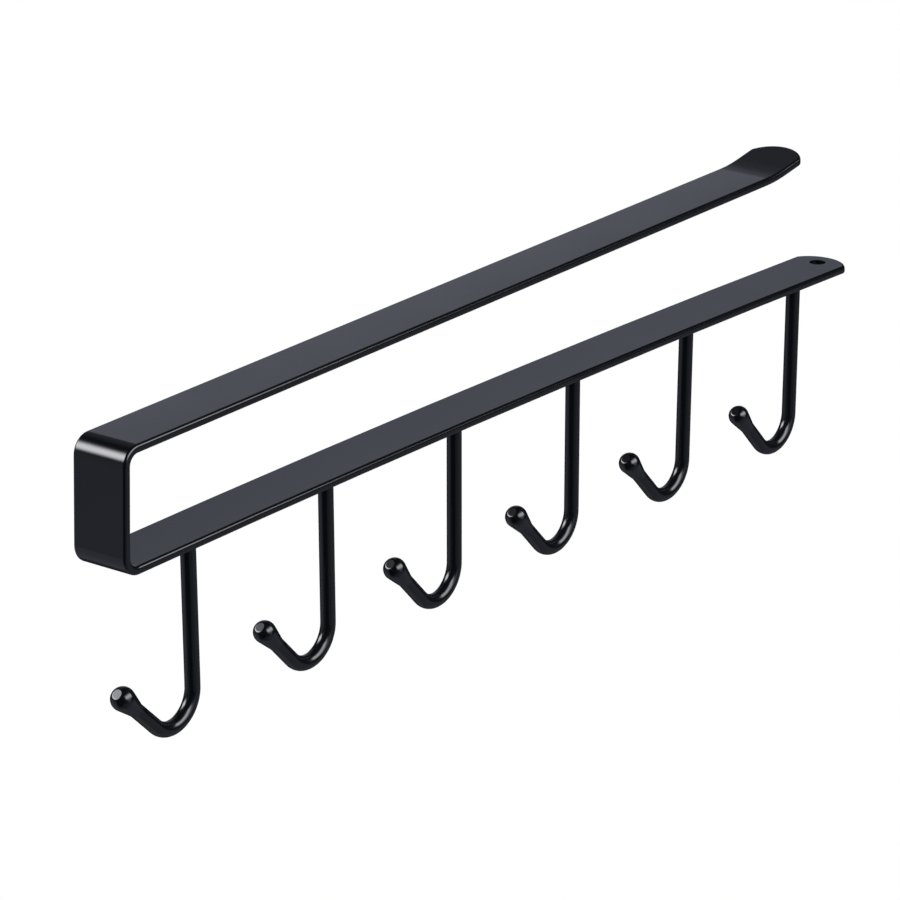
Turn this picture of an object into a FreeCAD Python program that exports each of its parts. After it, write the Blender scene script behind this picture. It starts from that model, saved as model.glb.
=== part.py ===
import FreeCAD, Part
import math
import os
import Sketcher
from FreeCAD import Placement, Rotation, Vector

# Under-cabinet mug rack: one bent steel strip with six welded wire hooks.
# Millimetres and degrees. X runs along the arms from the web to the open end, Y across the strip, Z up.
# The origin is the middle of the web's inner face, where the web stops against the edge of the board.

NODE_FOLDER = "parts"
HOOK_COUNT = 6
# How far an edge may lie off the plane that it is looked for in
TOUCH = 0.01

document = FreeCAD.newDocument("mug_rack")
sheet = document.addObject("Spreadsheet::Sheet", "Sizes")

SIZES = (
    # The strip: bar section, the slot that it is bent to, and its two arms
    ("strip_width", 15.9),
    ("strip_thickness", 2.15),
    ("slot_height", 26.85),
    ("web_lean", 1.9),
    ("bend_radius", 2.7),
    ("lower_arm_length", 296.4),
    ("lower_arm_crown", 1.55),
    ("upper_arm_length", 257.2),
    ("arm_splay", 1.08),
    # The turned-up lip, the rounded ends, the eased edges and the hole
    ("lip_length", 16.3),
    ("lip_angle", 9.6),
    ("lip_bend_radius", 50.0),
    ("end_rounding", 4.7),
    ("trim_allowance", 1.0),
    ("end_corner_radius", 1.0),
    ("edge_radius", 0.75),
    ("hole_diameter", 4.5),
    ("hole_inset", 6.2),
    # The hooks: where they stand, the J and its ends
    ("first_hook_offset", 28.0),
    ("last_hook_inset", 18.4),
    ("wire_diameter", 3.8),
    ("hook_depth", 47.9),
    ("hook_bend_radius", 8.0),
    ("hook_bend_angle", 135.5),
    ("hook_leg_length", 14.5),
    ("ball_diameter", 5.8),
    ("ball_flat_diameter", 2.7),
    ("ball_rim_radius", 0.9),
    ("neck_length", 6.0),
    ("weld_width", 0.9),
    ("weld_height", 1.2),
)

for row, (alias, value) in enumerate(SIZES, start=1):
    sheet.set(f"A{row}", alias)
    sheet.set(f"B{row}", str(value))
    sheet.setAlias(f"B{row}", alias)
document.recompute()


def size(alias):
    return float(sheet.get(alias))


def plane(body, role):
    """One of the body's own origin planes."""
    for feature in body.Origin.OriginFeatures:
        if feature.Role == role:
            return feature
    raise ValueError(role)


def new_sketch(body, name, role):
    sketch = body.newObject("Sketcher::SketchObject", name)
    sketch.AttachmentSupport = [(plane(body, role), "")]
    sketch.MapMode = "FlatFace"
    return sketch


def add_line(sketch, start, end):
    return sketch.addGeometry(Part.LineSegment(Vector(*start, 0), Vector(*end, 0)), False)


def add_arc(sketch, centre, start, end):
    """An arc about a centre, counter-clockwise from start to end."""
    radius = math.dist(centre, start)
    start_angle = math.atan2(start[1] - centre[1], start[0] - centre[0])
    end_angle = math.atan2(end[1] - centre[1], end[0] - centre[0])
    circle = Part.Circle(Vector(*centre, 0), Vector(0, 0, 1), radius)
    return sketch.addGeometry(Part.ArcOfCircle(circle, start_angle, end_angle), False)


def constrain(sketch, *terms):
    return sketch.addConstraint(Sketcher.Constraint(*terms))


def dimension(sketch, name, formula, *terms):
    """A named constraint that is bound to the sheet."""
    index = sketch.addConstraint(Sketcher.Constraint(*terms))
    sketch.renameConstraint(index, name)
    sketch.setExpression(f"Constraints.{name}", formula)


def join(sketch, *pairs):
    for first, first_point, second, second_point in pairs:
        constrain(sketch, "Coincident", first, first_point, second, second_point)


def pocket(body, name, sketch, upwards):
    """Cut through all that lies above, or below, the sketch."""
    cut = body.newObject("PartDesign::Pocket", name)
    cut.Profile = sketch
    cut.Type = "ThroughAll"
    cut.Reversed = upwards
    return cut


def fillet(body, name, base, edges, radius_alias):
    rounding = body.newObject("PartDesign::Fillet", name)
    rounding.Base = (base, edges)
    rounding.setExpression("Radius", f"Sizes.{radius_alias}")
    return rounding


def cross_edges(shape, corners):
    """Names of the edges across the strip that lie nearest to the given X, Z corners."""
    across = [
        (number, edge.CenterOfMass)
        for number, edge in enumerate(shape.Edges, start=1)
        if edge.BoundBox.YLength > size("strip_width") - TOUCH
    ]
    names = []
    for x, z in corners:
        nearest = min(across, key=lambda item: math.hypot(item[1].x - x, item[1].z - z))
        names.append(f"Edge{nearest[0]}")
    return names


# Places that follow from the sizes
thickness = size("strip_thickness")
half_width = size("strip_width") / 2
lean = math.radians(size("web_lean"))
splay = math.radians(size("arm_splay"))
lip_slope = math.radians(size("arm_splay") + size("lip_angle"))
half_slot = size("slot_height") / 2
corner_offset = half_slot * math.tan(lean)

CHORD = "(Sizes.lower_arm_length + Sizes.slot_height / 2 * tan(Sizes.web_lean * 1deg))"
CROWN_RADIUS = f"(({CHORD}^2 / 4 + Sizes.lower_arm_crown^2) / (2 * Sizes.lower_arm_crown))"
CROWN_CENTRE_X = f"(Sizes.lower_arm_length - {CHORD} / 2)"
CROWN_CENTRE_Z = f"(Sizes.lower_arm_crown - Sizes.slot_height / 2 - {CROWN_RADIUS})"
UNDERSIDE_RADIUS = f"({CROWN_RADIUS} - Sizes.strip_thickness)"

chord = size("lower_arm_length") + corner_offset
crown = size("lower_arm_crown")
crown_radius = (chord ** 2 / 4 + crown ** 2) / (2 * crown)
crown_centre = (size("lower_arm_length") - chord / 2, crown - half_slot - crown_radius)


def on_crown(x, radius):
    """The point of the lower arm's crowned face of this radius that lies at x."""
    return (x, crown_centre[1] + math.sqrt(radius ** 2 - (x - crown_centre[0]) ** 2))


# The strip's side profile, drawn with sharp corners and bent at these corners afterwards
strip = document.addObject("PartDesign::Body", "bent_strip")
strip.Label = "bent_strip"
profile = new_sketch(strip, "side_profile", "XZ_Plane")

blank_length = size("lower_arm_length") + size("trim_allowance")
blank_lip = size("lip_length") + size("trim_allowance")
inner_lower = (-corner_offset, -half_slot)
inner_upper = (corner_offset, half_slot)
lip_root = (
    inner_upper[0] + size("upper_arm_length") * math.cos(splay),
    inner_upper[1] + size("upper_arm_length") * math.sin(splay),
)
lip_tip = (
    lip_root[0] + blank_lip * math.cos(lip_slope),
    lip_root[1] + blank_lip * math.sin(lip_slope),
)
lip_tip_top = (lip_tip[0] - thickness * math.sin(lip_slope), lip_tip[1] + thickness * math.cos(lip_slope))
half_lip_turn = (lip_slope - splay) / 2
lip_root_top = (
    lip_root[0] - thickness * math.sin(splay + half_lip_turn) / math.cos(half_lip_turn),
    lip_root[1] + thickness * math.cos(splay + half_lip_turn) / math.cos(half_lip_turn),
)
outer_upper = (
    inner_upper[0] - thickness / math.cos(lean) - thickness * math.tan(splay),
    inner_upper[1] + thickness * (1 - math.tan(lean)),
)
outer_lower = on_crown(inner_lower[0] - thickness * (1 + math.tan(lean)), crown_radius - thickness)
tip_lower = on_crown(blank_length, crown_radius - thickness)
tip_upper = on_crown(blank_length, crown_radius)

web_inner = add_line(profile, inner_lower, inner_upper)
upper_inner = add_line(profile, inner_upper, lip_root)
lip_inner = add_line(profile, lip_root, lip_tip)
lip_end = add_line(profile, lip_tip, lip_tip_top)
lip_outer = add_line(profile, lip_tip_top, lip_root_top)
upper_outer = add_line(profile, lip_root_top, outer_upper)
web_outer = add_line(profile, outer_upper, outer_lower)
lower_outer = add_arc(profile, crown_centre, tip_lower, outer_lower)
lower_end = add_line(profile, tip_lower, tip_upper)
lower_inner = add_arc(profile, crown_centre, tip_upper, inner_lower)

START, END, CENTRE = 1, 2, 3
ORIGIN = (-1, 1)
join(
    profile,
    (web_inner, END, upper_inner, START),
    (upper_inner, END, lip_inner, START),
    (lip_inner, END, lip_end, START),
    (lip_end, END, lip_outer, START),
    (lip_outer, END, upper_outer, START),
    (upper_outer, END, web_outer, START),
    (web_outer, END, lower_outer, END),
    (lower_outer, START, lower_end, START),
    (lower_end, END, lower_inner, START),
    (lower_inner, END, web_inner, START),
    (lower_inner, CENTRE, lower_outer, CENTRE),
)
constrain(profile, "PointOnObject", *ORIGIN, web_inner)
constrain(profile, "Parallel", upper_inner, upper_outer)
constrain(profile, "Parallel", lip_inner, lip_outer)
constrain(profile, "Parallel", web_inner, web_outer)
constrain(profile, "Perpendicular", lip_inner, lip_end)
constrain(profile, "Vertical", lower_end)
dimension(profile, "web_angle", "(90 - Sizes.web_lean) * 1deg",
          "Angle", web_inner, math.radians(90) - lean)
dimension(profile, "slot_below", "Sizes.slot_height / 2",
          "DistanceY", web_inner, START, *ORIGIN, half_slot)
dimension(profile, "slot_above", "Sizes.slot_height / 2",
          "DistanceY", *ORIGIN, web_inner, END, half_slot)
dimension(profile, "splay_angle", "Sizes.arm_splay * 1deg",
          "Angle", upper_inner, splay)
dimension(profile, "upper_length", "Sizes.upper_arm_length",
          "Distance", upper_inner, size("upper_arm_length"))
dimension(profile, "lip_slope", "(Sizes.arm_splay + Sizes.lip_angle) * 1deg",
          "Angle", lip_inner, lip_slope)
dimension(profile, "lip_blank", "Sizes.lip_length + Sizes.trim_allowance",
          "Distance", lip_inner, blank_lip)
dimension(profile, "lip_wall", "Sizes.strip_thickness",
          "Distance", lip_end, thickness)
dimension(profile, "upper_wall", "Sizes.strip_thickness",
          "Distance", upper_inner, START, upper_outer, thickness)
dimension(profile, "web_wall", "Sizes.strip_thickness",
          "Distance", web_inner, START, web_outer, thickness)
dimension(profile, "crown_top", CROWN_RADIUS, "Radius", lower_inner, crown_radius)
dimension(profile, "crown_underside", UNDERSIDE_RADIUS,
          "Radius", lower_outer, crown_radius - thickness)
dimension(profile, "crown_centre_x", CROWN_CENTRE_X,
          "DistanceX", *ORIGIN, lower_inner, CENTRE, crown_centre[0])
dimension(profile, "lower_blank", "Sizes.lower_arm_length + Sizes.trim_allowance",
          "DistanceX", *ORIGIN, lower_inner, START, blank_length)

bar = strip.newObject("PartDesign::Pad", "bar")
bar.Profile = profile
bar.SideType = "Symmetric"
bar.setExpression("Length", "Sizes.strip_width")
document.recompute()

# The two web bends, inside and outside with one centre, and the gentle bend of the lip
inner_bends = fillet(strip, "inner_bends", bar,
                     cross_edges(bar.Shape, (inner_lower, inner_upper)), "bend_radius")
document.recompute()
outer_bends = fillet(strip, "outer_bends", inner_bends,
                     cross_edges(inner_bends.Shape, (outer_lower, outer_upper)), "bend_radius")
outer_bends.setExpression("Radius", "Sizes.bend_radius + Sizes.strip_thickness")
document.recompute()
lip_top_bend = fillet(strip, "lip_top_bend", outer_bends,
                      cross_edges(outer_bends.Shape, (lip_root_top,)), "lip_bend_radius")
document.recompute()
lip_under_bend = fillet(strip, "lip_under_bend", lip_top_bend,
                        cross_edges(lip_top_bend.Shape, (lip_root,)), "lip_bend_radius")
lip_under_bend.setExpression("Radius", "Sizes.lip_bend_radius + Sizes.strip_thickness")
document.recompute()


def trim_end(name, tip_formula, tip, upwards):
    """Trim a free end to an arc that runs from side to side of the strip."""
    depth = size("end_rounding")
    margin = size("trim_allowance")
    radius = (half_width ** 2 + depth ** 2) / (2 * depth)
    shoulder = tip - depth
    outside = tip + 2 * margin
    reach = half_width + margin
    sketch = new_sketch(strip, name + "_outline", "XY_Plane")
    arc = add_arc(sketch, (tip - radius, 0), (shoulder, -half_width), (shoulder, half_width))
    lines = [
        add_line(sketch, (shoulder, half_width), (shoulder, reach)),
        add_line(sketch, (shoulder, reach), (outside, reach)),
        add_line(sketch, (outside, reach), (outside, -reach)),
        add_line(sketch, (outside, -reach), (shoulder, -reach)),
        add_line(sketch, (shoulder, -reach), (shoulder, -half_width)),
    ]
    join(
        sketch,
        (arc, END, lines[0], START),
        (lines[0], END, lines[1], START),
        (lines[1], END, lines[2], START),
        (lines[2], END, lines[3], START),
        (lines[3], END, lines[4], START),
        (lines[4], END, arc, START),
    )
    constrain(sketch, "Vertical", lines[0])
    constrain(sketch, "Horizontal", lines[1])
    constrain(sketch, "Vertical", lines[2])
    constrain(sketch, "Horizontal", lines[3])
    constrain(sketch, "Vertical", lines[4])
    constrain(sketch, "PointOnObject", arc, CENTRE, -1)
    dimension(sketch, "shoulder", f"{tip_formula} - Sizes.end_rounding",
              "DistanceX", *ORIGIN, arc, END, shoulder)
    dimension(sketch, "side", "Sizes.strip_width / 2", "DistanceY", *ORIGIN, arc, END, half_width)
    dimension(sketch, "end_radius",
              "(Sizes.strip_width^2 / 4 + Sizes.end_rounding^2) / (2 * Sizes.end_rounding)",
              "Radius", arc, radius)
    dimension(sketch, "outside", f"{tip_formula} + 2 * Sizes.trim_allowance",
              "DistanceX", *ORIGIN, lines[1], END, outside)
    dimension(sketch, "reach_above", "Sizes.trim_allowance", "Distance", lines[0], margin)
    dimension(sketch, "reach_below", "Sizes.trim_allowance", "Distance", lines[4], margin)
    return pocket(strip, name, sketch, upwards)


LIP_TIP = (
    "(Sizes.slot_height / 2 * tan(Sizes.web_lean * 1deg)"
    " + Sizes.upper_arm_length * cos(Sizes.arm_splay * 1deg)"
    " + Sizes.lip_length * cos((Sizes.arm_splay + Sizes.lip_angle) * 1deg)"
    " - Sizes.strip_thickness * sin((Sizes.arm_splay + Sizes.lip_angle) * 1deg))"
)
lip_reach = lip_root[0] + size("lip_length") * math.cos(lip_slope) - thickness * math.sin(lip_slope)
lower_tip_trim = trim_end("lower_tip_trim", "Sizes.lower_arm_length", size("lower_arm_length"), False)
document.recompute()
lip_trim = trim_end("lip_trim", LIP_TIP, lip_reach, True)
document.recompute()

# The hole for a screw or a hanging nail near the lower arm's free end
hole_outline = new_sketch(strip, "hole_outline", "XY_Plane")
hole_place = Vector(size("lower_arm_length") - size("hole_inset"), 0, 0)
hole_circle = hole_outline.addGeometry(
    Part.Circle(hole_place, Vector(0, 0, 1), size("hole_diameter") / 2), False)
constrain(hole_outline, "PointOnObject", hole_circle, CENTRE, -1)
dimension(hole_outline, "hole_place", "Sizes.lower_arm_length - Sizes.hole_inset",
          "DistanceX", *ORIGIN, hole_circle, CENTRE, hole_place.x)
dimension(hole_outline, "hole_size", "Sizes.hole_diameter",
          "Diameter", hole_circle, size("hole_diameter"))
end_hole = pocket(strip, "end_hole", hole_outline, False)
document.recompute()


def on_side(edge):
    """Whether the edge lies in one of the strip's two side faces."""
    flat = edge.BoundBox.YLength < TOUCH
    return flat and abs(edge.CenterOfMass.y) > half_width - TOUCH


def through_strip(edge):
    """Whether the edge is a short upright one, from one face of the strip to the other."""
    return edge.BoundBox.XLength < TOUCH and edge.Length < half_slot


def end_corner_edges(shape):
    """The upright edges where the rounded ends meet the sides."""
    return [
        f"Edge{number}"
        for number, edge in enumerate(shape.Edges, start=1)
        if on_side(edge) and through_strip(edge)
    ]


def side_edges(shape):
    """The long edges on the two sides of the strip, which lead round both ends."""
    return [
        f"Edge{number}"
        for number, edge in enumerate(shape.Edges, start=1)
        if on_side(edge) and not through_strip(edge)
    ]


end_corners = fillet(strip, "end_corners", end_hole, end_corner_edges(end_hole.Shape),
                     "end_corner_radius")
document.recompute()
eased_edges = fillet(strip, "eased_edges", end_corners, side_edges(end_corners.Shape), "edge_radius")
document.recompute()


# The hooks: wire bent to a J, a ball upset on its free end, a weld flare at its root
HOOK_SPAN = "(Sizes.lower_arm_length - Sizes.first_hook_offset - Sizes.last_hook_inset)"
SHANK = "(Sizes.hook_depth - Sizes.wire_diameter / 2 - Sizes.hook_bend_radius)"
shank_length = size("hook_depth") - size("wire_diameter") / 2 - size("hook_bend_radius")
wire_radius = size("wire_diameter") / 2
bend = size("hook_bend_radius")
bend_angle = math.radians(size("hook_bend_angle"))
leg = size("hook_leg_length")


def draw_wire_path(body):
    """Shank down from the root, bend towards the web, straight leg up to the ball's centre."""
    path = new_sketch(body, body.Name + "_path", "XZ_Plane")
    shank_end = (0, -shank_length)
    bend_centre = (-bend, -shank_length)
    bend_end = (
        bend_centre[0] + bend * math.cos(bend_angle),
        bend_centre[1] - bend * math.sin(bend_angle),
    )
    leg_end = (bend_end[0] - leg * math.sin(bend_angle), bend_end[1] - leg * math.cos(bend_angle))
    shank = add_line(path, (0, 0), shank_end)
    curve = add_arc(path, bend_centre, bend_end, shank_end)
    straight = add_line(path, bend_end, leg_end)
    constrain(path, "Coincident", shank, START, *ORIGIN)
    constrain(path, "Vertical", shank)
    constrain(path, "Tangent", shank, END, curve, END)
    constrain(path, "Tangent", curve, START, straight, START)
    dimension(path, "shank_length", SHANK, "Distance", shank, shank_length)
    dimension(path, "bend_radius", "Sizes.hook_bend_radius", "Radius", curve, bend)
    dimension(path, "leg_angle", "(270 - Sizes.hook_bend_angle) * 1deg",
              "Angle", straight, math.radians(270) - bend_angle)
    dimension(path, "leg_length", "Sizes.hook_leg_length", "Distance", straight, leg)
    return path


def draw_head(body):
    """Half section of the upset head: flat pole, ball, and a neck that tapers down to the wire."""
    head = new_sketch(body, body.Name + "_head_section", "XZ_Plane")
    head.AttachmentOffset = Placement(Vector(0, 0, 0), Rotation(Vector(0, 0, 1), 180 - size("hook_bend_angle")))
    turn = "Sizes.hook_bend_angle * 1deg"
    head.setExpression(
        "AttachmentOffset.Base.x",
        f"Sizes.hook_bend_radius * (cos({turn}) - 1) - Sizes.hook_leg_length * sin({turn})")
    head.setExpression(
        "AttachmentOffset.Base.y",
        f"-{SHANK} - Sizes.hook_bend_radius * sin({turn}) - Sizes.hook_leg_length * cos({turn})")
    head.setExpression("AttachmentOffset.Rotation.Angle", "180 - Sizes.hook_bend_angle")

    ball_radius = size("ball_diameter") / 2
    flat_radius = size("ball_flat_diameter") / 2
    neck = size("neck_length")
    pole = (flat_radius, math.sqrt(ball_radius ** 2 - flat_radius ** 2))
    taper = math.atan2(wire_radius, neck) + math.acos(ball_radius / math.hypot(neck, wire_radius))
    touch = (ball_radius * math.sin(taper), -ball_radius * math.cos(taper))
    top = add_line(head, pole, (0, pole[1]))
    axis = add_line(head, (0, pole[1]), (0, -neck))
    foot = add_line(head, (0, -neck), (wire_radius, -neck))
    cone = add_line(head, (wire_radius, -neck), touch)
    ball = add_arc(head, (0, 0), touch, pole)
    join(
        head,
        (top, END, axis, START),
        (axis, END, foot, START),
        (foot, END, cone, START),
        (ball, END, top, START),
    )
    constrain(head, "Tangent", cone, END, ball, START)
    constrain(head, "Coincident", ball, CENTRE, *ORIGIN)
    constrain(head, "Horizontal", top)
    constrain(head, "Vertical", axis)
    constrain(head, "Horizontal", foot)
    constrain(head, "PointOnObject", axis, START, -2)
    dimension(head, "ball_size", "Sizes.ball_diameter / 2", "Radius", ball, ball_radius)
    dimension(head, "pole_size", "Sizes.ball_flat_diameter / 2", "Distance", top, flat_radius)
    dimension(head, "neck_size", "Sizes.wire_diameter / 2", "Distance", foot, wire_radius)
    dimension(head, "neck_length", "Sizes.neck_length", "DistanceY", axis, END, *ORIGIN, neck)
    return head


def draw_weld(body):
    """Half section of the concave weld flare that ties the wire to the strip."""
    weld = new_sketch(body, body.Name + "_weld_section", "XZ_Plane")
    width = size("weld_width")
    height = size("weld_height")
    sweep = (width ** 2 + height ** 2) / (2 * width)
    rim = (wire_radius + width, 0)
    toe = (wire_radius, -height)
    roof = add_line(weld, rim, (0, 0))
    axis = add_line(weld, (0, 0), (0, -height))
    foot = add_line(weld, (0, -height), toe)
    flare = add_arc(weld, (wire_radius + sweep, -height), rim, toe)
    join(
        weld,
        (roof, END, axis, START),
        (axis, END, foot, START),
        (foot, END, flare, END),
        (flare, START, roof, START),
    )
    constrain(weld, "Coincident", roof, END, *ORIGIN)
    constrain(weld, "Horizontal", roof)
    constrain(weld, "Vertical", axis)
    constrain(weld, "Horizontal", foot)
    dimension(weld, "rim", "Sizes.wire_diameter / 2 + Sizes.weld_width", "Distance", roof, rim[0])
    dimension(weld, "height", "Sizes.weld_height", "Distance", axis, height)
    dimension(weld, "toe", "Sizes.wire_diameter / 2", "Distance", foot, wire_radius)
    dimension(weld, "sweep", "(Sizes.weld_width^2 + Sizes.weld_height^2) / (2 * Sizes.weld_width)",
              "Radius", flare, sweep)
    return weld


def rim_edge(shape):
    """The circle where the flat pole meets the ball."""
    flat_radius = size("ball_flat_diameter") / 2
    for number, edge in enumerate(shape.Edges, start=1):
        if edge.Degenerated or not isinstance(edge.Curve, Part.Circle):
            continue
        if abs(edge.Curve.Radius - flat_radius) < TOUCH:
            return [f"Edge{number}"]
    raise ValueError("no rim on the flat pole")


def revolve(body, name, sketch):
    turned = body.newObject("PartDesign::Revolution", name)
    turned.Profile = sketch
    turned.ReferenceAxis = (sketch, ["V_Axis"])
    turned.Angle = 360
    return turned


def make_hook(number):
    """One hook, square to the crowned underside of the lower arm, opening towards the web."""
    body = document.addObject("PartDesign::Body", f"hook_{number}")
    body.Label = f"hook_{number}"
    section = new_sketch(body, body.Name + "_wire_section", "XY_Plane")
    circle = section.addGeometry(Part.Circle(Vector(0, 0, 0), Vector(0, 0, 1), wire_radius), False)
    constrain(section, "Coincident", circle, CENTRE, *ORIGIN)
    dimension(section, "wire_size", "Sizes.wire_diameter", "Diameter", circle, 2 * wire_radius)
    path = draw_wire_path(body)
    document.recompute()
    wire = body.newObject("PartDesign::AdditivePipe", body.Name + "_wire")
    wire.Profile = section
    wire.Spine = (path, ["Edge1", "Edge2", "Edge3"])
    document.recompute()
    head = revolve(body, body.Name + "_head", draw_head(body))
    document.recompute()
    rim = fillet(body, body.Name + "_pole_rim", head, rim_edge(head.Shape), "ball_rim_radius")
    document.recompute()
    revolve(body, body.Name + "_weld", draw_weld(body))

    share = (number - 1) / (HOOK_COUNT - 1)
    place = f"(Sizes.first_hook_offset + {share} * {HOOK_SPAN})"
    seat = "((Sizes.wire_diameter / 2 + Sizes.weld_width)^2 / (2 * " + UNDERSIDE_RADIUS + "))"
    slope = f"asin(({place} - {CROWN_CENTRE_X}) / {UNDERSIDE_RADIUS})"
    height = f"{CROWN_CENTRE_Z} + {UNDERSIDE_RADIUS} * cos({slope}) - {seat}"
    body.setExpression(
        "Placement",
        f"placement(vector({place}; 0; {height}); rotation(vector(0; 1; 0); {slope}))")
    return body


hooks = [make_hook(number) for number in range(1, HOOK_COUNT + 1)]
document.recompute()

for item in document.Objects:
    if "Invalid" in item.State or "Error" in item.State:
        raise RuntimeError(f"{item.Name} failed: {item.getStatusString()}")

os.makedirs(NODE_FOLDER, exist_ok=True)
for body in [strip] + hooks:
    shape = body.Shape
    if shape.isNull() or not shape.isValid() or len(shape.Solids) != 1:
        raise RuntimeError(f"{body.Label} is not one valid solid")
for body in [strip] + hooks:
    body.Shape.exportStep(os.path.join(NODE_FOLDER, body.Label + ".step"))
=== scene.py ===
import math

import bpy
from mathutils import Euler, Matrix, Vector


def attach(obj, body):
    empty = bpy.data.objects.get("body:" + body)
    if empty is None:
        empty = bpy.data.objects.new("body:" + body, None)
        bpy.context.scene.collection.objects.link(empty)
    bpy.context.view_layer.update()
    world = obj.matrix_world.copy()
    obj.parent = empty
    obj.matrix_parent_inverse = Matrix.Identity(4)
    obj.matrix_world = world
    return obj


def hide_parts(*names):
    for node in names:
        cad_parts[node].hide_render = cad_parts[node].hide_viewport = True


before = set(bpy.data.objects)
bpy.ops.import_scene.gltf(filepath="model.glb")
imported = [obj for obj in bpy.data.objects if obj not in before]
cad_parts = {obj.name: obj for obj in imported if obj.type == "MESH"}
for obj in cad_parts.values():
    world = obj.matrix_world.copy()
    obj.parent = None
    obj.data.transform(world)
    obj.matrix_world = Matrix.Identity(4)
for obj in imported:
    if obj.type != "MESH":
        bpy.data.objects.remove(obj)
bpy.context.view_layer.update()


# The bent strip: flat steel bar with rolled round edges, folded twice to a slot that slides over a shelf.
# Its black polyester powder coat is baked, and levels to a satin gloss with a faint orange peel.
CLOUDS_PER_METRE = 45
PEEL_PER_METRE = 700
PEEL_DEPTH = 0.0001
powder_coat = bpy.data.materials.new("black_powder_coat")
powder_coat.use_nodes = True
nodes, links = powder_coat.node_tree.nodes, powder_coat.node_tree.links
paint = nodes["Principled BSDF"]
paint.inputs["IOR"].default_value = 1.8

place = nodes.new("ShaderNodeTexCoord")
cure = nodes.new("ShaderNodeTexNoise")
cure.inputs["Scale"].default_value = CLOUDS_PER_METRE
cure.inputs["Detail"].default_value = 3
links.new(place.outputs["Object"], cure.inputs["Vector"])

shade = nodes.new("ShaderNodeValToRGB")
shade.color_ramp.elements[0].color = (0.0034, 0.0036, 0.0050, 1)
shade.color_ramp.elements[1].color = (0.0054, 0.0058, 0.0076, 1)
links.new(cure.outputs["Fac"], shade.inputs["Fac"])
links.new(shade.outputs["Color"], paint.inputs["Base Color"])

gloss = nodes.new("ShaderNodeMapRange")
gloss.inputs["To Min"].default_value = 0.15
gloss.inputs["To Max"].default_value = 0.21
links.new(cure.outputs["Fac"], gloss.inputs["Value"])
links.new(gloss.outputs["Result"], paint.inputs["Roughness"])

peel = nodes.new("ShaderNodeTexNoise")
peel.inputs["Scale"].default_value = PEEL_PER_METRE
peel.inputs["Detail"].default_value = 2
links.new(place.outputs["Object"], peel.inputs["Vector"])
relief = nodes.new("ShaderNodeBump")
relief.inputs["Strength"].default_value = 0.04
relief.inputs["Distance"].default_value = PEEL_DEPTH
links.new(peel.outputs["Fac"], relief.inputs["Height"])
links.new(relief.outputs["Normal"], paint.inputs["Normal"])

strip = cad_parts["bent_strip"]
strip.data.materials.clear()
strip.data.materials.append(powder_coat)


# The six hooks: steel wire cut to length, upset to a ball with a flat pole, bent to a J and welded on.
# One tree sweeps a ring along the wire's path and swells it at the weld and at the ball.
# Each hook is bent by hand, so it stands a little off its neighbours, as measured in the photo.
SHANK_LENGTH = 0.0380
BEND_ANGLE = 135.5
LEG_LENGTH = 0.0145
hook_tree = bpy.data.node_groups.new("wire_hook", "GeometryNodeTree")
hook_tree.interface.new_socket("Hook", in_out="OUTPUT", socket_type="NodeSocketGeometry")
for label, value in (
    ("Wire diameter", 0.0038),
    ("Shank length", SHANK_LENGTH),
    ("Bend radius", 0.0080),
    ("Bend angle", math.radians(BEND_ANGLE)),
    ("Leg length", LEG_LENGTH),
    ("Neck length", 0.0060),
    ("Ball diameter", 0.0058),
    ("Pole diameter", 0.0027),
    ("Pole rim radius", 0.0009),
    ("Weld width", 0.0009),
    ("Weld height", 0.0012),
    ("Root in strip", 0.0002),
):
    measure = hook_tree.interface.new_socket(label, in_out="INPUT", socket_type="NodeSocketFloat")
    measure.default_value = value
size = hook_tree.nodes.new("NodeGroupInput").outputs


def add_node(kind, mode=None, **given):
    """A node of the hook's tree, with its inputs linked or set by name."""
    node = hook_tree.nodes.new(kind)
    if mode:
        node.mode = mode
    for name, value in given.items():
        socket = node.inputs[name.replace("_", " ")]
        if isinstance(value, bpy.types.NodeSocket):
            hook_tree.links.new(value, socket)
        else:
            socket.default_value = value
    return node


def calc(operation, *values):
    """One step of sums in the hook's tree, on numbers and other nodes' outputs."""
    node = hook_tree.nodes.new("ShaderNodeMath")
    node.operation = operation
    for socket, value in zip(node.inputs, values):
        if isinstance(value, bpy.types.NodeSocket):
            hook_tree.links.new(value, socket)
        else:
            socket.default_value = value
    return node.outputs["Value"]


def beyond(station, border, before, after):
    """One of two radii, by whether a station lies before or after a border along the wire."""
    node = hook_tree.nodes.new("GeometryNodeSwitch")
    node.input_type = "FLOAT"
    is_after = calc("GREATER_THAN", station, border)
    for name, value in (("Switch", is_after), ("False", before), ("True", after)):
        hook_tree.links.new(value, node.inputs[name])
    return node.outputs["Output"]


def other_leg(long_side, short_side):
    """The third side of a right-angled triangle, which is nothing where the short side is too long."""
    square = calc("SUBTRACT", calc("POWER", long_side, 2), calc("POWER", short_side, 2))
    return calc("SQRT", calc("MAXIMUM", square, 0))


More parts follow.
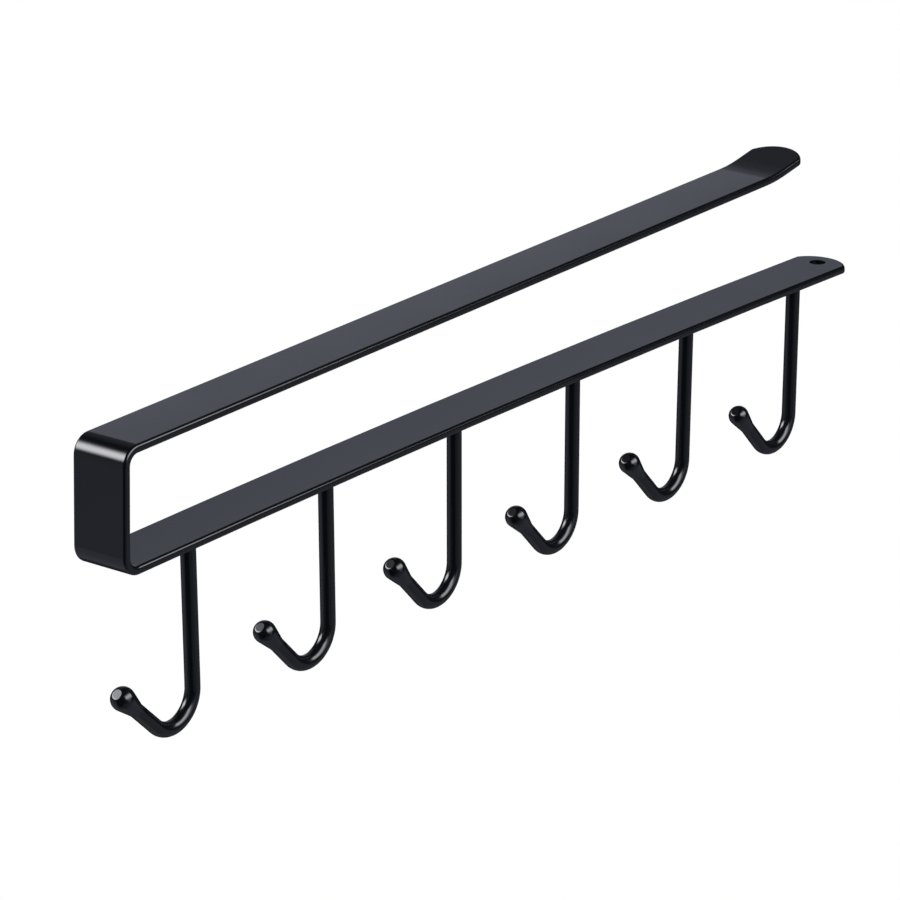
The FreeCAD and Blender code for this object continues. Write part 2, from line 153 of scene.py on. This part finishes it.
# The wire's middle line runs down the shank, round the bend and up the leg, to the ball's flat pole
BEND_STEPS = 48
wire_radius = calc("MULTIPLY", size["Wire diameter"], 0.5)
ball_radius = calc("MULTIPLY", size["Ball diameter"], 0.5)
pole_height = other_leg(ball_radius, calc("MULTIPLY", size["Pole diameter"], 0.5))
bend_angle = size["Bend angle"]
tangent = calc("MULTIPLY", size["Bend radius"], calc("TANGENT", calc("MULTIPLY", bend_angle, 0.5)))
corner_depth = calc("ADD", size["Shank length"], tangent)
reach = calc("ADD", calc("ADD", tangent, size["Leg length"]), pole_height)
root = add_node("ShaderNodeCombineXYZ", Z=size["Root in strip"])
corner = add_node("ShaderNodeCombineXYZ", Z=calc("MULTIPLY", corner_depth, -1))
pole = add_node(
    "ShaderNodeCombineXYZ",
    X=calc("MULTIPLY", calc("MULTIPLY", reach, calc("SINE", bend_angle)), -1),
    Z=calc(
        "SUBTRACT",
        calc("MULTIPLY", corner_depth, -1),
        calc("MULTIPLY", reach, calc("COSINE", bend_angle))))
corners = add_node("GeometryNodeIndexSwitch")
corners.data_type = "VECTOR"
corners.index_switch_items.new()
index = add_node("GeometryNodeInputIndex").outputs["Index"]
hook_tree.links.new(index, corners.inputs["Index"])
for number, point in enumerate((root, corner, pole)):
    hook_tree.links.new(point.outputs["Vector"], corners.inputs[str(number)])
straight = add_node("GeometryNodeCurvePrimitiveLine")
three_points = add_node("GeometryNodeResampleCurve", Curve=straight.outputs["Curve"], Count=3)
angled = add_node(
    "GeometryNodeSetPosition", Geometry=three_points.outputs["Curve"], Position=corners.outputs["Output"])
bent = add_node(
    "GeometryNodeFilletCurve", "POLY",
    Curve=angled.outputs["Geometry"], Count=BEND_STEPS, Radius=size["Bend radius"])
middle_line = bent.outputs["Curve"]
wire_length = add_node("GeometryNodeCurveLength", Curve=middle_line).outputs["Length"]

# Stations along it stand close together at the weld, in the bend and over the ball
STATIONS = 150
stations = add_node("GeometryNodeResampleCurve", Curve=straight.outputs["Curve"], Count=STATIONS)
spacing = add_node("ShaderNodeFloatCurve", Value=calc("DIVIDE", index, STATIONS - 1))
spacing_points = spacing.mapping.curves[0].points
for share_of_stations, share_of_length in (
    (0.07, 0.019),
    (0.13, 0.516),
    (0.43, 0.772),
    (0.47, 0.884),
    (0.60, 0.952),
    (0.86, 0.9955),
):
    spacing_points.new(share_of_stations, share_of_length)
for point in spacing_points:
    point.handle_type = "VECTOR"
spacing.mapping.update()
run = calc("MULTIPLY", spacing.outputs["Value"], wire_length)
on_line = add_node("GeometryNodeSampleCurve", "LENGTH", Curves=middle_line, Length=run)
wire_line = add_node(
    "GeometryNodeSetPosition", Geometry=stations.outputs["Curve"], Position=on_line.outputs["Position"])

# The weld's flare is a hollow arc that runs out on the wire
below_root = calc("SUBTRACT", calc("ADD", size["Weld height"], size["Root in strip"]), run)
up_flare = calc("MINIMUM", calc("MAXIMUM", below_root, 0), size["Weld height"])
flare_square = calc("ADD", calc("POWER", size["Weld width"], 2), calc("POWER", size["Weld height"], 2))
flare_radius = calc("DIVIDE", flare_square, calc("MULTIPLY", size["Weld width"], 2))
flare = calc("SUBTRACT", calc("ADD", wire_radius, flare_radius), other_leg(flare_radius, up_flare))

# The neck is a cone from the wire to where it touches the ball
past_ball_centre = calc("ADD", calc("SUBTRACT", run, wire_length), pole_height)
to_foot = calc("SQRT", calc("ADD", calc("POWER", size["Neck length"], 2), calc("POWER", wire_radius, 2)))
taper = calc(
    "ADD",
    calc("ARCTAN2", wire_radius, size["Neck length"]),
    calc("ARCCOSINE", calc("DIVIDE", ball_radius, to_foot)))
touch_radius = calc("MULTIPLY", ball_radius, calc("SINE", taper))
touch_place = calc("MULTIPLY", calc("MULTIPLY", ball_radius, calc("COSINE", taper)), -1)
up_neck = calc("MAXIMUM", calc("ADD", past_ball_centre, size["Neck length"]), 0)
steepness = calc(
    "DIVIDE",
    calc("SUBTRACT", touch_radius, wire_radius),
    calc("ADD", touch_place, size["Neck length"]))
neck = calc("MULTIPLY_ADD", up_neck, steepness, flare)

# The ball's round runs over a small rim to the flat pole
ball = other_leg(ball_radius, past_ball_centre)
rim_place = calc("SUBTRACT", pole_height, size["Pole rim radius"])
inner_radius = calc("SUBTRACT", ball_radius, size["Pole rim radius"])
flat_radius = other_leg(inner_radius, rim_place)
rim = calc(
    "ADD",
    flat_radius,
    other_leg(size["Pole rim radius"], calc("SUBTRACT", past_ball_centre, rim_place)))
rim_start = calc("DIVIDE", calc("MULTIPLY", rim_place, ball_radius), inner_radius)
ball_and_rim = beyond(past_ball_centre, rim_start, ball, rim)
wire_outline = beyond(past_ball_centre, touch_place, neck, ball_and_rim)

RING_POINTS = 32
ring = add_node("GeometryNodeCurvePrimitiveCircle", Resolution=RING_POINTS, Radius=1.0)
swept = add_node(
    "GeometryNodeCurveToMesh",
    Curve=wire_line.outputs["Geometry"],
    Profile_Curve=ring.outputs["Curve"],
    Scale=wire_outline,
    Fill_Caps=True)
smooth = add_node("GeometryNodeSetShadeSmooth", Geometry=swept.outputs["Mesh"])
realized = add_node("GeometryNodeRealizeInstances", Geometry=smooth.outputs["Geometry"])
painted = add_node("GeometryNodeSetMaterial", Geometry=realized.outputs["Geometry"], Material=powder_coat)
add_node("NodeGroupOutput", Hook=painted.outputs["Geometry"])

# The lower arm is bent a little hollow, so every hook stands square to it on a very large arc
MILLIMETRE = 0.001
FIRST_HOOK = 0.0280
PITCH = 0.0500
ARC_CENTRE = Vector((0.147977, 0, -7.118873))
ARC_RADIUS = 7.104848
HOOKS = (
    # Along the arm, tilt, swing, turn, longer shank, more bend, longer leg, ball; in mm and degrees
    (-0.15, 0.00, 0.03, 0.66, -0.10, -0.78, 0.76, 6.0),
    (0.11, -0.18, 0.13, -0.36, 0.12, 1.37, -0.41, 5.7),
    (0.31, 0.10, 0.04, 0.40, -0.11, 0.77, 0.39, 5.8),
    (-0.24, -0.09, 0.14, -0.05, 0.30, 0.50, -0.37, 5.8),
    (0.11, 0.06, 0.49, -0.28, 0.08, 0.03, 0.25, 5.7),
    (0.54, -0.23, 0.21, -0.80, 0.07, 0.49, 0.15, 5.5),
)
identifiers = {item.name: item.identifier for item in hook_tree.interface.items_tree}
for number, (along, tilt, swing, turn, shank, bend, leg, ball_size) in enumerate(HOOKS, start=1):
    blank = bpy.data.objects.new("hook_blank", bpy.data.meshes.new("hook_blank"))
    bpy.context.scene.collection.objects.link(blank)
    modifier = blank.modifiers.new("wire_hook", "NODES")
    modifier.node_group = hook_tree
    modifier[identifiers["Shank length"]] = SHANK_LENGTH + shank * MILLIMETRE
    modifier[identifiers["Bend angle"]] = math.radians(BEND_ANGLE + bend)
    modifier[identifiers["Leg length"]] = LEG_LENGTH + leg * MILLIMETRE
    modifier[identifiers["Ball diameter"]] = ball_size * MILLIMETRE
    evaluated = blank.evaluated_get(bpy.context.evaluated_depsgraph_get())
    mesh = bpy.data.meshes.new_from_object(evaluated)
    bpy.data.objects.remove(blank)

    place_on_arm = FIRST_HOOK + PITCH * (number - 1)
    slope = math.asin((place_on_arm - ARC_CENTRE.x) / ARC_RADIUS)
    underside = ARC_CENTRE.z + ARC_RADIUS * math.cos(slope)
    foot = Vector((place_on_arm + along * MILLIMETRE, 0, underside))
    stance = Euler((math.radians(swing), slope + math.radians(tilt), math.radians(turn)), "ZXY")
    mesh.transform(Matrix.Translation(foot) @ stance.to_matrix().to_4x4())
    mesh.name = f"wire_hook_{number}"
    hook = bpy.data.objects.new(f"wire_hook_{number}", mesh)
    bpy.context.scene.collection.objects.link(hook)
    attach(hook, "root")
    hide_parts(f"hook_{number}")


# The studio: two soft boxes, one behind on the left and one in front on the right, that fade toward their
# edges as a cloth front does. A low lit card behind the rack mirrors in the upper arm, and pale sweeps in
# the dark room mirror in the other flat faces.
LAMP_TINT = (0.98, 0.98, 1.03)
MIDDLE_OF_FRONT = 0.5


def soft_box(name, place, away, wide, high, fade_wide, fade_high, radiance):
    """An area light that shines against the direction away, brightest in its middle."""
    lamp = bpy.data.lights.new(name, "AREA")
    lamp.shape = "RECTANGLE"
    lamp.size = wide
    lamp.size_y = high
    lamp.energy = radiance * math.pi * wide * high
    lamp.color = LAMP_TINT
    lamp.use_nodes = True
    nodes, links = lamp.node_tree.nodes, lamp.node_tree.links
    across = nodes.new("ShaderNodeSeparateXYZ")
    links.new(nodes.new("ShaderNodeNewGeometry").outputs["Parametric"], across.inputs["Vector"])
    front = nodes.new("ShaderNodeMath")
    front.operation = "MULTIPLY"
    links.new(front.outputs["Value"], nodes["Emission"].inputs["Strength"])
    for axis, fade in enumerate((fade_wide, fade_high)):
        off_centre = nodes.new("ShaderNodeMath")
        off_centre.operation = "SUBTRACT"
        off_centre.inputs[1].default_value = MIDDLE_OF_FRONT
        links.new(across.outputs[axis], off_centre.inputs[0])
        either_side = nodes.new("ShaderNodeMath")
        either_side.operation = "ABSOLUTE"
        links.new(off_centre.outputs["Value"], either_side.inputs[0])
        cloth = nodes.new("ShaderNodeMapRange")
        cloth.interpolation_type = "SMOOTHSTEP"
        cloth.inputs["From Min"].default_value = MIDDLE_OF_FRONT * (1 - fade)
        cloth.inputs["From Max"].default_value = MIDDLE_OF_FRONT
        cloth.inputs["To Min"].default_value = 1
        cloth.inputs["To Max"].default_value = 0
        links.new(either_side.outputs["Value"], cloth.inputs["Value"])
        links.new(cloth.outputs["Result"], front.inputs[axis])
    box = bpy.data.objects.new(name, lamp)
    bpy.context.scene.collection.objects.link(box)
    box.matrix_world = Matrix.Translation(place) @ away.to_track_quat("Z", "Y").to_matrix().to_4x4()


def towards(azimuth, elevation):
    """The direction from the rack's web to a place in the room."""
    around, up = math.radians(azimuth), math.radians(elevation)
    return Vector((math.cos(up) * math.cos(around), math.cos(up) * math.sin(around), math.sin(up)))


def seen_apart(tree, by_the_rest, by_the_camera):
    """A shader that the camera sees as one thing, and every other ray as another."""
    rays = tree.nodes.new("ShaderNodeLightPath")
    seen = tree.nodes.new("ShaderNodeMixShader")
    tree.links.new(rays.outputs["Is Camera Ray"], seen.inputs["Fac"])
    tree.links.new(by_the_rest, seen.inputs[1])
    tree.links.new(by_the_camera, seen.inputs[2])
    return seen.outputs["Shader"]


to_key = towards(azimuth=127, elevation=30)
soft_box(
    "key_soft_box", place=to_key * 2.4, away=to_key,
    wide=2.56, high=1.65, fade_wide=0.8, fade_high=0.8, radiance=6.7)
to_side = towards(azimuth=-79, elevation=29)
soft_box(
    "side_soft_box", place=to_side * 1.2 + Vector((0.13, 0.025, 0)), away=to_side,
    wide=1.72, high=1.17, fade_wide=0.2, fade_high=1.0, radiance=3.9)
soft_box(
    "back_card", place=Vector((0.36, 0.16, 0.103)), away=Vector((0, 1, 0)),
    wide=0.60, high=0.054, fade_wide=0.2, fade_high=1.0, radiance=0.17)

world = bpy.data.worlds.new("studio")
bpy.context.scene.world = world
world.use_nodes = True
nodes, links = world.node_tree.nodes, world.node_tree.links
nodes.clear()
look = nodes.new("ShaderNodeTexCoord")
height = nodes.new("ShaderNodeSeparateXYZ")
links.new(look.outputs["Generated"], height.inputs["Vector"])

# The room is nearly dark, and a little paler straight below
dusk = nodes.new("ShaderNodeMapRange")
dusk.interpolation_type = "SMOOTHSTEP"
dusk.inputs["From Min"].default_value = -1.0
dusk.inputs["From Max"].default_value = -0.6
dusk.inputs["To Min"].default_value = 0.135
dusk.inputs["To Max"].default_value = 0.018
links.new(height.outputs["Z"], dusk.inputs["Value"])
brightness = dusk.outputs["Result"]
for azimuth, elevation, inner, outer, level in (
    # Where a sweep's middle lies, how far it is even, how far it reaches, in degrees, and its brightness
    (46, 8, 14, 19.5, 0.30),
    (50, 33, 12, 30, 0.085),
    (128, -25, 25, 40, 0.155),
    (122, -42, 22, 34, 0.225),
    (-78, 4, 4, 22, 0.46),
    (-32, -42, 24, 34, 0.14),
    (-62, -42, 24, 34, 0.14),
    (-100, -42, 24, 34, 0.10),
):
    facing = nodes.new("ShaderNodeVectorMath")
    facing.operation = "DOT_PRODUCT"
    facing.inputs[1].default_value = towards(azimuth, elevation)
    links.new(look.outputs["Generated"], facing.inputs[0])
    sweep = nodes.new("ShaderNodeMapRange")
    sweep.interpolation_type = "SMOOTHSTEP"
    sweep.inputs["From Min"].default_value = math.cos(math.radians(outer))
    sweep.inputs["From Max"].default_value = math.cos(math.radians(inner))
    sweep.inputs["To Max"].default_value = level
    links.new(facing.outputs["Value"], sweep.inputs["Value"])
    brighter = nodes.new("ShaderNodeMath")
    brighter.operation = "MAXIMUM"
    links.new(brightness, brighter.inputs[0])
    links.new(sweep.outputs["Result"], brighter.inputs[1])
    brightness = brighter.outputs["Value"]
room = nodes.new("ShaderNodeBackground")
room.inputs["Color"].default_value = (0.90, 0.99, 1.20, 1)
links.new(brightness, room.inputs["Strength"])
white = nodes.new("ShaderNodeBackground")
white.inputs["Color"].default_value = (1, 1, 1, 1)
backdrop = seen_apart(world.node_tree, room.outputs["Background"], white.outputs["Background"])
links.new(backdrop, nodes.new("ShaderNodeOutputWorld").inputs["Surface"])


# The floor: a pale board well below the rack, which hangs; it lies under the picture's lower edge.
# The camera sees it as the white of the room, and every other ray sees the board.
FLOOR_HEIGHT = -1.8
FLOOR_HALF = 0.5
GRAIN_PER_METRE = 30
floor_corners = (
    (-FLOOR_HALF, -FLOOR_HALF, FLOOR_HEIGHT),
    (FLOOR_HALF, -FLOOR_HALF, FLOOR_HEIGHT),
    (FLOOR_HALF, FLOOR_HALF, FLOOR_HEIGHT),
    (-FLOOR_HALF, FLOOR_HALF, FLOOR_HEIGHT),
)
floor_mesh = bpy.data.meshes.new("floor")
floor_mesh.from_pydata(floor_corners, [], [(0, 1, 2, 3)])
floor = bpy.data.objects.new("floor", floor_mesh)
bpy.context.scene.collection.objects.link(floor)
pale_board = bpy.data.materials.new("pale_board")
pale_board.use_nodes = True
nodes, links = pale_board.node_tree.nodes, pale_board.node_tree.links
board = nodes["Principled BSDF"]
board.inputs["Roughness"].default_value = 0.9
grain_place = nodes.new("ShaderNodeTexCoord")
grain = nodes.new("ShaderNodeTexNoise")
grain.inputs["Scale"].default_value = GRAIN_PER_METRE
links.new(grain_place.outputs["Object"], grain.inputs["Vector"])
tone = nodes.new("ShaderNodeValToRGB")
tone.color_ramp.elements[0].color = (0.60, 0.60, 0.60, 1)
tone.color_ramp.elements[1].color = (0.64, 0.64, 0.64, 1)
links.new(grain.outputs["Fac"], tone.inputs["Fac"])
links.new(tone.outputs["Color"], board.inputs["Base Color"])
glow = nodes.new("ShaderNodeEmission")
floor_face = seen_apart(pale_board.node_tree, board.outputs["BSDF"], glow.outputs["Emission"])
links.new(floor_face, nodes["Material Output"].inputs["Surface"])
floor_mesh.materials.append(pale_board)


# The camera: a long lens in front of the web, a little above the rack.
# Its place was found by laying the solids' outline over the rack's outline in the photo.
lens = bpy.data.cameras.new("photo_camera")
lens.lens = 183.857
lens.sensor_width = 36
lens.clip_start = 0.05
camera = bpy.data.objects.new("photo_camera", lens)
bpy.context.scene.collection.objects.link(camera)
camera_place = Vector((-0.719946, -0.659992, 0.357853))
camera_right = Vector((0.61451434, -0.78890479, -0.00116297))
camera_up = Vector((0.26384559, 0.20413178, 0.9427172))
camera_axes = Matrix((camera_right, camera_up, camera_right.cross(camera_up))).transposed()
camera.matrix_world = Matrix.Translation(camera_place) @ camera_axes.to_4x4()
bpy.context.scene.camera = camera
bpy.context.scene.view_settings.view_transform = "Standard"
